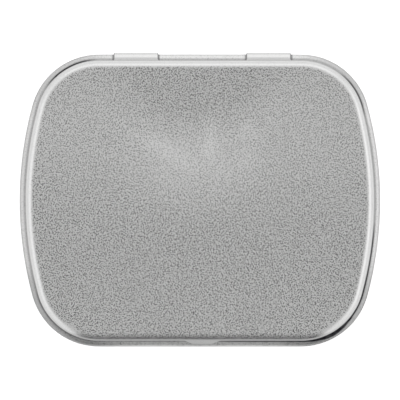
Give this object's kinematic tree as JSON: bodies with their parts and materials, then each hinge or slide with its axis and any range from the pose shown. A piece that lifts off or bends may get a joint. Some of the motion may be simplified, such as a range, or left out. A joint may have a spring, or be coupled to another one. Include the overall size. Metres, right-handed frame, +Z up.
{
  "type": "hinged mint tin",
  "caption": "Flat pocket tin of drawn sheet: a base with a round bead and inset neck, and a hinged lid with a thumb lip.",
  "frame": {"origin": "centre of the flat bottom, on the surface that the tin stands on", "axes": "+X to the right along the long side, +Y from the thumb lip to the hinge, +Z up"},
  "size_m": [0.06, 0.0489, 0.016],
  "materials": {
    "tinplate_base": "matte, finely grained tinplate",
    "tinplate_lid": "matte, finely grained tinplate"
  },
  "bodies": {
    "base": {"base": "tinplate_base"},
    "lid": {"lid": "tinplate_lid"}
  },
  "joints": [
    {"name": "lid_hinge", "type": "hinge", "parent": "base", "child": "lid", "pos_m": [0.0004, 0.0233, 0.01035], "axis": [-1, 0, 0], "range_deg": [0, 110]}
  ]
}
